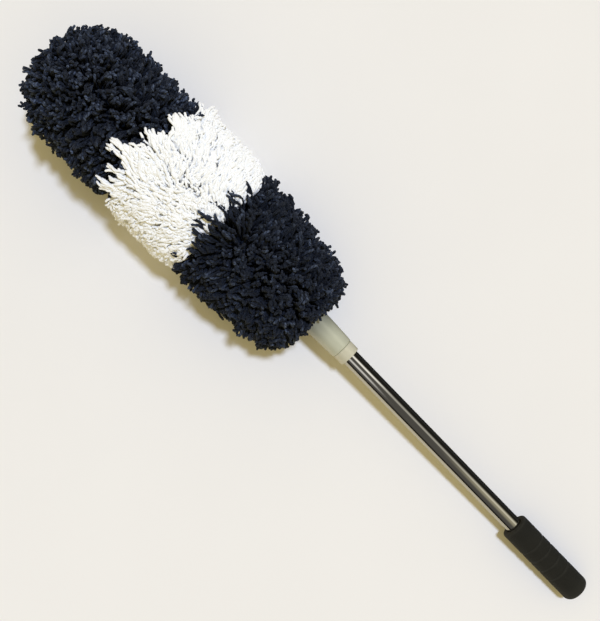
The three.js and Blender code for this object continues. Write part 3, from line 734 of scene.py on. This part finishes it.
def dark_paths(pile, start, end, tone, dice):
    """Dark strands: gathered in small clumps that lean their own ways, with shorter ones between"""
    spacing = bpy.context.scene.duster_sizes.dark_spacing
    angle, root, tip, along, around = pile.scatter(start, end, spacing, dice, STRAND_JITTER)
    station, count = root[:, 0], len(root)

    # Clumps lean and drift, and behind the white band they lean over its edge, most of all on top
    clump_spacing, clump_lean, drift = 0.0090, 0.0040, 0.0026
    seam_width, seam_rise, seam_lean, seam_arc, seam_spread = 0.028, 0.018, 0.020, 0.8, (-0.007, 0.009)
    clump_angle, clump_root, clump_tip, clump_along, clump_around = pile.scatter(
        start, end, clump_spacing, dice)
    clump_station, clumps = clump_root[:, 0], len(clump_root)
    lean = dice.normal(0, clump_lean, (clumps, 2)) + drifts(clump_tip, drift, dice)
    seam = ramp(clump_station, MIDDLE_START - seam_width, seam_rise) * (clump_station < MIDDLE_START)
    lean[:, 0] += seam * (seam_lean * bell(clump_angle, seam_arc) + dice.uniform(*seam_spread, clumps))
    clump_sway = clump_along * lean[:, :1] + clump_around * lean[:, 1:]

    # A strand is drawn to its own clump, strays and sags
    drawn, straying, sag = (0.45, 0.85), 0.0016, 0.005
    own = nearest(tip, clump_tip)
    stray = dice.normal(0, straying, (count, 2))
    sway = (clump_tip[own] - tip) * dice.uniform(*drawn, (count, 1)) + clump_sway[own]
    sway += along * stray[:, :1] + around * (stray[:, 1:] + sag * np.sin(angle)[:, None])

    # Strands differ in length, and in front of the white band they give way to it on top
    shorter, clump_shorter, limits, seam_longer = 0.17, (0.03, 0.06), (-0.07, 0.3), 0.05
    under_width, under_arc, under_shorter, under_lean = 0.03, 0.9, 0.2, 0.008
    short = dice.uniform(0, 1, count) ** 2 * shorter + dice.normal(*clump_shorter, clumps)[own]
    reach = 1 - np.clip(short, *limits) + seam_longer * seam[own]
    under_white = (1 - ramp(station, FRONT_START, under_width)) * (station > FRONT_START)
    hung_over = bell(angle, under_arc)
    reach *= 1 - under_shorter * under_white * hung_over
    sway += along * (under_lean * under_white * (2 * hung_over - 1))[:, None]
    tip = root + (tip - root) * reach[:, None]

    # Hooks at the ends, and tones, differ by clump and by strand
    clump_hook, own_hook, clump_tone, own_tone = 0.0012, 0.0022, 0.1, 0.3
    hook = dice.normal(0, clump_hook, (clumps, 3))[own] + dice.normal(0, own_hook, (count, 3))
    paths = drawn_paths(root, tip, sway, hook, dice, rise_power=1.5, sway_power=2.4, wave=0.0018)
    return paths, dice.normal(tone, own_tone, count) + dice.normal(0, clump_tone, clumps)[own]


def white_paths(pile, dice):
    """White strands: longer, swept off the top down both sides and forward, over upright short ones"""
    band, lock_spacing = (MIDDLE_START, FRONT_START), 0.014
    spacing = bpy.context.scene.duster_sizes.white_spacing
    angle, root, tip, along, around = pile.scatter(*band, spacing, dice, STRAND_JITTER)
    lock_tip = pile.scatter(*band, lock_spacing, dice)[2]
    station, count, locks = root[:, 0], len(root), len(lock_tip)
    own = nearest(tip, lock_tip)

    # Strands are combed off a parting to the sides, and forward
    parting_angle, parting_spread, crown_arc, sideways, sideways_loss = 0.2, 0.2, 0.8, 0.026, 0.005
    least_forward, crown_forward, front_forward, front_width = 0.001, 0.015, 0.006, 0.045
    parting = angle - parting_angle + dice.normal(0, parting_spread, locks)[own]
    parting += dice.normal(0, parting_spread, count)
    aside = np.tanh(parting / crown_arc) * (sideways - sideways_loss * np.abs(parting))
    crown = bell(parting, crown_arc)
    to_front = ramp(station, FRONT_START - front_width, front_width)
    forward = least_forward + crown_forward * crown + front_forward * to_front

    # Some locks near the front come loose
    loose_share, least_loose, loose_arc = 0.3, 0.2, 1.3
    loose_forward, loose_aside, loose_drawn, loose_longer = 0.030, 0.7, 0.5, 0.05
    loosened = dice.uniform(0, 1, locks) < loose_share
    loose = loosened[own] * to_front ** 2 * dice.uniform(least_loose, 1, locks)[own]
    loose *= np.abs(parting) < loose_arc

    # Locks lean their own ways, and the sides gather at one station
    unruly, front_unruly, stray, gather, gather_station = 0.0022, 0.0050, 0.002, 0.2, 0.595
    lock_lean = (unruly + front_unruly * to_front ** 2)[:, None]
    lean = dice.normal(0, 1, (locks, 2))[own] * lock_lean + dice.normal(0, stray, (count, 2))
    gathered = gather * (1 - crown) * (gather_station - station)
    along_by = forward + gathered + loose_forward * loose + lean[:, 0]
    around_by = aside * (1 - loose_aside * loose) + lean[:, 1]

    # Half of the strands stand more upright under the others, and all are drawn to their locks
    under_share, under_swept, under_length, least_drawn, front_drawn = 0.5, (0.3, 0.8), 0.97, 0.08, 0.12
    under = dice.uniform(0, 1, count) < under_share
    swept = np.where(under, dice.uniform(*under_swept, count), 1.0)
    drawn = least_drawn + front_drawn * to_front + loose_drawn * loose
    combed = along * along_by[:, None] + around * around_by[:, None]
    sway = (lock_tip[own] - tip) * drawn[:, None] + combed * swept[:, None]

    # Strands differ in length, and are shorter at the rear of the band
    shorter, lock_spread, behind_width, behind_shorter = 0.06, 0.015, 0.022, 0.14
    reach = 1 - dice.uniform(0, 1, count) ** 2 * shorter + dice.normal(0, lock_spread, locks)[own]
    reach += loose_longer * loose
    behind = 1 - ramp(station, MIDDLE_START, behind_width)
    reach *= np.where(under, under_length, 1.0) * (1 - behind_shorter * behind)
    tip = root + (tip - root) * reach[:, None]

    own_hook, tone, own_tone = 0.0012, 0.55, 0.25
    hook = dice.normal(0, own_hook, (count, 3))
    paths = drawn_paths(root, tip, sway, hook, dice, rise_power=3.0, sway_power=1.6, wave=0.0012)
    return paths, dice.normal(tone, own_tone, count)


def add_yarn(label, paths, tones, thickness, finish, node_name, sectors):
    """Makes a piece of the strands in each of the equal sectors round the tool, from the top on"""
    middle = paths[:, len(STRAND_STATIONS) // 2]
    turn = np.mod(np.arctan2(middle[:, 1], middle[:, 2]) / FULL_TURN, 1)
    numbers = np.floor(turn * sectors).astype(int)
    for number in range(sectors):
        chosen = numbers == number
        placed = laid_on_floor(paths[chosen], thickness)
        piece = strand_piece(f"{label}_{number + 1}", placed, thickness, tones[chosen], finish)
        settle(piece, "pole", finish, node_name)


# Operators

class DUSTER_OT_grip(bpy.types.Operator):
    """Foam grip with rings, a rounded butt and a soft mouth"""

    bl_idname = "duster.grip"
    bl_label = "Foam grip"

    def execute(self, context):
        half_ring, half_floor = 0.0016, 0.0005
        ring_rounding, mouth_rounding, bore_rounding, butt_segments = (0.0005, 3), (0.002, 6), (0.0004, 2), 10
        sizes = context.scene.duster_sizes
        radius, length = sizes.grip_radius, sizes.grip_length
        floor = radius - sizes.groove_depth
        bore = sizes.tube_radius + SLIP
        profile = [(0, 0), (0, radius)]
        rounded = [(1, sizes.grip_rounding, butt_segments)]
        for middle in RING_STATIONS:
            first = len(profile)
            profile += [(middle - half_ring, radius), (middle - half_floor, floor),
                        (middle + half_floor, floor), (middle + half_ring, radius)]
            rounded += [(first, *ring_rounding), (first + 3, *ring_rounding)]
        mouth = len(profile)
        profile += [(length, radius), (length, bore), (GRIP_FLOOR, bore), (GRIP_FLOOR, 0)]
        rounded += [(mouth, *mouth_rounding), (mouth + 1, *bore_rounding)]
        piece = turned("grip_foam", profile, "black_foam", rounded, closed=False)
        settle(piece, "handle", "black_foam", "foam_grip")
        return {"FINISHED"}


class DUSTER_OT_pole(bpy.types.Operator):
    """Outer and inner steel tubes"""

    bl_idname = "duster.pole"
    bl_label = "Steel tubes"

    def execute(self, context):
        sides, rounding, ring_inset = 128, (0.00015, 2), 0.001
        sizes = context.scene.duster_sizes
        tubes = (
            ("pole_outer", sizes.tube_radius, TUBE_START, TUBE_END, "handle", "outer_tube"),
            ("pole_inner", sizes.inner_radius, INNER_START, INNER_END, "pole", "inner_tube"),
        )
        for name, radius, start, end, body, node_name in tubes:
            bore = radius - sizes.tube_wall
            profile = [(start, radius), (end, radius), (end, bore), (start, bore)]
            rounded = [(corner, *rounding) for corner in range(len(profile))]
            rings = (start + ring_inset, end - ring_inset)
            piece = turned(name, profile, "polished_steel", rounded, sides, rings=rings)
            if node_name == "inner_tube":
                drilled(piece, SOCKET_PIN)
            settle(piece, body, "polished_steel", node_name)
        return {"FINISHED"}


class DUSTER_OT_plastics(bpy.types.Operator):
    """Guide collar and head socket in milky plastic"""

    bl_idname = "duster.plastics"
    bl_label = "Collar and socket"

    def execute(self, context):
        sides, spigot_step = 112, 0.0023
        collar_insets, socket_insets = (0.0012, 0.0022), (0.0035, 0.001)
        sizes = context.scene.duster_sizes
        seat = sizes.tube_radius + SLIP
        lip = sizes.inner_radius + LIP_GAP
        outside = sizes.collar_radius
        collar = [(COLLAR_START, seat), (COLLAR_START, outside), (COLLAR_END, outside), (COLLAR_END, lip),
                  (COLLAR_LIP, lip), (COLLAR_LIP, seat)]
        rounded = [(1, 0.0007, 4), (2, 0.0009, 4), (3, 0.0003, 2), (0, 0.0003, 2)]
        rings = (COLLAR_START + collar_insets[0], COLLAR_END - collar_insets[1])
        piece = turned("collar_ring", collar, "pale_plastic", rounded, sides, rings=rings)
        settle(piece, "handle", "pale_plastic", "guide_collar")

        bore = sizes.inner_radius + SLIP
        spigot = sizes.socket_top - spigot_step
        socket = [(SOCKET_SEAT, 0), (SOCKET_SEAT, bore), (SOCKET_MOUTH, bore),
                  (SOCKET_MOUTH, sizes.socket_mouth), (SOCKET_TOP, sizes.socket_top), (SOCKET_TOP, spigot),
                  (SPIGOT_END, spigot), (SPIGOT_END, 0)]
        rounded = [(2, 0.0004, 2), (3, 0.0018, 6), (4, 0.0005, 3), (6, 0.0015, 2)]
        rings = (SOCKET_MOUTH + socket_insets[0], SOCKET_TOP - socket_insets[1])
        piece = turned("socket_ferrule", socket, "pale_plastic", rounded, sides, closed=False, rings=rings)
        drilled(piece, SOCKET_PIN)
        drilled(piece, CORE_PIN)
        settle(piece, "pole", "pale_plastic", "head_socket")
        return {"FINISHED"}


# Steps of the turned pieces in the head
CORE_SIDES = 72
NECK_STEPS = 10
CLOTH_STEPS = 16


def arc(centre, reach_along, reach_out, first, last, steps, base=0.0):
    """Quarter of an ellipse in a profile, from one angle to another; angle 0 points outwards"""
    angles = np.linspace(first, last, steps + 1)
    return [(centre + reach_along * math.sin(angle), base + reach_out * math.cos(angle)) for angle in angles]


def neck(start, low, high):
    """Curve from a low radius at a station up to a high one where the barrel starts"""
    return arc(BARREL_START, BARREL_START - start, high - low, -QUARTER, 0, NECK_STEPS, low)


def dome(radius, steps):
    """Round end, from the barrel to the axis"""
    return arc(BARREL_END, radius, radius, 0, QUARTER, steps)[:-1] + [(BARREL_END + radius, 0)]


def cloth(name, profile, finish, thickness):
    """Turned cloth, thickened to both sides"""
    piece = turned(name, profile, finish, sides=CORE_SIDES, closed=False)
    thicken = piece.modifiers.new("cloth", "SOLIDIFY")
    thicken.thickness = thickness
    thicken.offset = 0
    return piece


class DUSTER_OT_core(bpy.types.Operator):
    """Padding, cloth sock and the pile's woven backing inside the head"""

    bl_idname = "duster.core"
    bl_label = "Padded core"

    def execute(self, context):
        sizes = context.scene.duster_sizes
        core = sizes.socket_top + SLIP
        hollow_end = CAP_END + SLIP
        padding_radius, padding_steps, padding_rounded = 0.0245, 14, [(1, 0.002, 4)]
        padding = [(BARREL_START, core), (BARREL_START, padding_radius)]
        padding += dome(padding_radius, padding_steps) + [(hollow_end, 0)]
        padding += arc(CAP_START, hollow_end - CAP_START, core, QUARTER, 0, NECK_STEPS)[1:]
        piece = turned("core_padding", padding, "padding", padding_rounded, CORE_SIDES)
        settle(piece, "pole", "padding", "foam_core")

        sock_radius, sock_length, sock_thickness, hem_gap = 0.0253, 0.366, 0.0008, 0.0008
        flare = (sizes.socket_top - sizes.socket_mouth) / (SOCKET_TOP - SOCKET_MOUTH)
        hem = sizes.socket_mouth + flare * (HEM_TOP - SOCKET_MOUTH) + hem_gap
        sock = [(HEM_EDGE, hem), *neck(HEM_TOP, hem, sock_radius), *dome(sock_radius, CLOTH_STEPS)]
        piece = cloth("cloth_sock", sock, "dark_cloth", sock_thickness)
        settle(piece, "pole", "dark_cloth", "base_sleeve")

        ring, thickness, neck_gap, half_gap = 0.0268, 0.001, 0.0022, 0.00015
        rear = [*neck(BACKING_START, hem + neck_gap, ring), (MIDDLE_START - half_gap, ring)]
        middle = [(MIDDLE_START + half_gap, ring), (FRONT_START - half_gap, ring)]
        front = [(FRONT_START + half_gap, ring), *dome(ring, CLOTH_STEPS)]
        bands = (
            ("backing_rear", rear, "dark_cloth", "dark_yarn", "pile_rear", 0.130),
            ("backing_middle", middle, "white_cloth", "white_yarn", "pile_middle", 0.0977),
            ("backing_front", front, "dark_cloth", "dark_yarn", "pile_front", 0.127),
        )
        for name, profile, finish, slot, node_name, length in bands:
            piece = cloth(name, profile, finish, thickness)
            settle(piece, "pole", slot, node_name)
        return {"FINISHED"}


class DUSTER_OT_dark_yarn(bpy.types.Operator):
    """Dark yarn of the rear and front bands"""

    bl_idname = "duster.dark_yarn"
    bl_label = "Dark yarn"

    def execute(self, context):
        sizes = context.scene.duster_sizes
        pile = Pile(sizes.pile_radius)
        bands = (
            ("yarn_rear", pile.rows[0][0], MIDDLE_START, -0.30, "pile_rear"),
            ("yarn_front", FRONT_START, pile.rows[0][-1], -0.10, "pile_front"),
        )
        for number, (label, start, end, tone, node_name) in enumerate(bands):
            dice = np.random.default_rng(sizes.seed + number)
            paths, tones = dark_paths(pile, start, end, tone, dice)
            add_yarn(label, paths, tones, sizes.dark_thickness, "dark_yarn", node_name, sectors=4)
        return {"FINISHED"}


class DUSTER_OT_white_yarn(bpy.types.Operator):
    """White yarn of the middle band"""

    bl_idname = "duster.white_yarn"
    bl_label = "White yarn"

    def execute(self, context):
        sizes = context.scene.duster_sizes
        seed_step = 10
        dice = np.random.default_rng(sizes.seed + seed_step)
        paths, tones = white_paths(Pile(sizes.pile_radius), dice)
        add_yarn("yarn_white", paths, tones, sizes.white_thickness, "white_yarn", "pile_middle", sectors=6)
        return {"FINISHED"}


class DUSTER_OT_inner_parts(bpy.types.Operator):
    """Finishes of the rigid pieces that keep their CAD shape"""

    bl_idname = "duster.inner_parts"
    bl_label = "Inner parts"

    def execute(self, context):
        kept = {
            "dark_plastic": ("tube_end_plug", "core_tube", "core_end_cap"),
            "lock_plastic": ("lock_plug", "lock_cam", "neck_band"),
            "pin_steel": ("socket_pin", "core_pin"),
        }
        for finish, names in kept.items():
            for name in names:
                for slot in frame["nodes"][name].material_slots:
                    slot.material = finishes()[finish]
        return {"FINISHED"}


# Where along the view of the room a light starts and is full
HEAD_END = (-0.252, -0.222)
GRIP_END = (-0.32, -0.39)
EVERYWHERE = None
# Lights seen in the polish: degrees from overhead, half width, softness, colour, and where along they are
ROOM_LIGHTS = (
    (-5, 60, 9, (0.085, 0.08, 0.07), EVERYWHERE),
    (33, 12, 8, (0.40, 0.38, 0.32), EVERYWHERE),
    (33, 11, 7, (0.76, 0.74, 0.69), HEAD_END),
    (-27, 11, 8, (0.76, 0.74, 0.69), HEAD_END),
    (19, 30, 20, (0.30, 0.27, 0.17), GRIP_END),
)
DARK_ROOM = (0.016, 0.015, 0.012)
FILL_LIGHT = (0.552, 0.466, 0.238, 1)
BACKDROP = (0.86, 0.84, 0.79, 1)


def studio_world():
    """Warm fill for the shade, a striped dark room in the gloss of the tubes, and a pale backdrop"""
    world = bpy.data.worlds.new("studio")
    world.use_nodes = True
    tree = world.node_tree
    tree.nodes.clear()
    along, aside, up = node(tree, "SeparateXYZ", node(tree, "TexCoord")["Generated"])
    across = maths(tree, "ARCTAN2", maths(tree, "MULTIPLY", aside, -1.0), up)
    stripes = DARK_ROOM
    for middle, half_width, soft, colour, reach in ROOM_LIGHTS:
        away = maths(tree, "ABSOLUTE", maths(tree, "SUBTRACT", across, math.radians(middle)))
        share = between(math.radians(half_width + soft), math.radians(half_width - soft))(tree, away)
        if reach is not EVERYWHERE:
            share = maths(tree, "MULTIPLY", share, between(*reach)(tree, along))
        stripes = blend(tree, share, stripes, colour, "ADD")
    fill, room, backdrop = (node(tree, "Background", colour)[0] for colour in (FILL_LIGHT, stripes, BACKDROP))
    rays = node(tree, "LightPath")
    lit = node(tree, "MixShader", rays["Is Glossy Ray"], fill, room)[0]
    seen = node(tree, "MixShader", rays["Is Camera Ray"], lit, backdrop)[0]
    node(tree, "OutputWorld", Surface=seen)
    return world


class DUSTER_OT_stage(bpy.types.Operator):
    """Pale floor, studio light and the camera straight above"""

    bl_idname = "duster.stage"
    bl_label = "Stage"

    def execute(self, context):
        scene = context.scene
        stage = scene.duster_stage
        floor_builder = bmesh.new()
        bmesh.ops.create_grid(floor_builder, x_segments=8, y_segments=8, size=6)
        floor_mesh = bpy.data.meshes.new("floor")
        floor_builder.to_mesh(floor_mesh)
        floor_builder.free()
        floor_mesh.materials.append(finishes()["pale_floor"])
        floor = add_object("floor", floor_mesh)

        scene.world = studio_world()
        key = bpy.data.lights.new("key", "SUN")
        key.energy = stage.key_strength
        key.color = (0.62, 0.72, 1.0)
        key.angle = math.radians(7)
        key_object = add_object("key", key)
        key_object.rotation_euler = (stage.key_zenith, 0, 0)
        key_object.visible_glossy = False

        camera = bpy.data.cameras.new("camera")
        camera.lens = stage.lens
        camera.sensor_width = 36
        camera_object = add_object("camera", camera)
        camera_object.location = (stage.camera_x, stage.camera_y, stage.camera_height)
        camera_object.rotation_euler = (0, 0, stage.camera_turn)
        scene.camera = camera_object
        scene.view_settings.view_transform = "Standard"
        return {"FINISHED"}


class DUSTER_PT_panel(bpy.types.Panel):
    """Sizes, colours and the pieces of the duster"""

    bl_idname = "DUSTER_PT_panel"
    bl_label = "Car duster"
    bl_space_type = "VIEW_3D"
    bl_region_type = "UI"
    bl_category = "Duster"

    def draw(self, context):
        layout = self.layout
        for label, group in GROUPS.items():
            box = layout.box()
            for name in group.__annotations__:
                box.prop(getattr(context.scene, label), name)
        for operator in OPERATORS:
            layout.operator(operator.bl_idname)


OPERATORS = (
    DUSTER_OT_stage, DUSTER_OT_grip, DUSTER_OT_pole, DUSTER_OT_plastics, DUSTER_OT_core, DUSTER_OT_dark_yarn,
    DUSTER_OT_white_yarn, DUSTER_OT_inner_parts)
GROUPS = {
    "duster_sizes": DUSTER_PG_sizes,
    "duster_colours": DUSTER_PG_colours,
    "duster_stage": DUSTER_PG_stage,
}
CLASSES = (*GROUPS.values(), *OPERATORS, DUSTER_PT_panel)


def register():
    for entry in CLASSES:
        bpy.utils.register_class(entry)
    for label, group in GROUPS.items():
        setattr(bpy.types.Scene, label, PointerProperty(type=group))


def unregister():
    for label in GROUPS:
        delattr(bpy.types.Scene, label)
    for entry in reversed(CLASSES):
        bpy.utils.unregister_class(entry)


def main():
    register()
    bpy.ops.duster.stage()
    bpy.ops.duster.grip()
    bpy.ops.duster.pole()
    bpy.ops.duster.plastics()
    bpy.ops.duster.core()
    bpy.ops.duster.dark_yarn()
    bpy.ops.duster.white_yarn()
    bpy.ops.duster.inner_parts()


if __name__ == "__main__":
    main()
